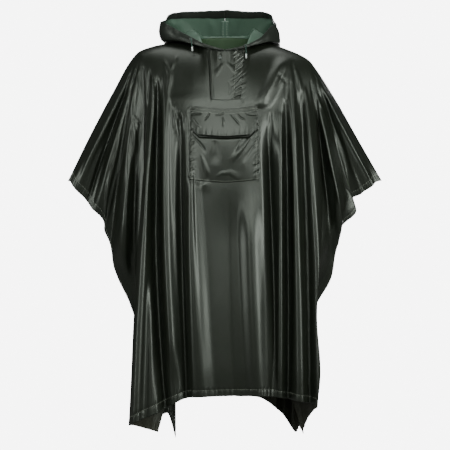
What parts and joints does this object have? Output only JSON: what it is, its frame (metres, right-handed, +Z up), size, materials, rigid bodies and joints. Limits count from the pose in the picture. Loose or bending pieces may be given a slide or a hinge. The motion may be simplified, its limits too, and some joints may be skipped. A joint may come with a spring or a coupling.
{
  "type": "rain poncho",
  "caption": "Knee-length rain poncho of coated cloth with a chest pocket under a flap, a short snap placket and a hood folded back, hanging in the hollow form in which it is worn.",
  "frame": {"origin": "middle of the neck opening, level with the neckline between the shoulders", "axes": "+Z up, -Y towards the front of the garment, +X to the right of someone who looks at its front"},
  "size_m": [0.943, 0.3778, 1.3123],
  "materials": {
    "coated_cloth": "coated, semi-gloss",
    "hood_cloth": "coated, semi-gloss outside, green coating inside",
    "seam_tape": "bound seam",
    "cord": "braided",
    "cord_tip": "translucent, moulded",
    "snap_metal": "plated"
  },
  "bodies": {
    "root": {"front_panel": "coated_cloth", "back_panel": "coated_cloth", "hood_left": "hood_cloth", "hood_right": "hood_cloth", "hood_rim_left": "hood_cloth", "hood_rim_right": "hood_cloth", "hood_seam": "seam_tape", "placket": "coated_cloth", "placket_snap": "snap_metal", "pocket": "coated_cloth", "pocket_flap": "coated_cloth", "side_snap_left": "snap_metal", "side_snap_right": "snap_metal", "eyelet_left": "snap_metal", "eyelet_right": "snap_metal", "cord_left": "cord", "cord_right": "cord", "cord_tip_left": "cord_tip", "cord_tip_right": "cord_tip"}
  },
  "joints": []
}
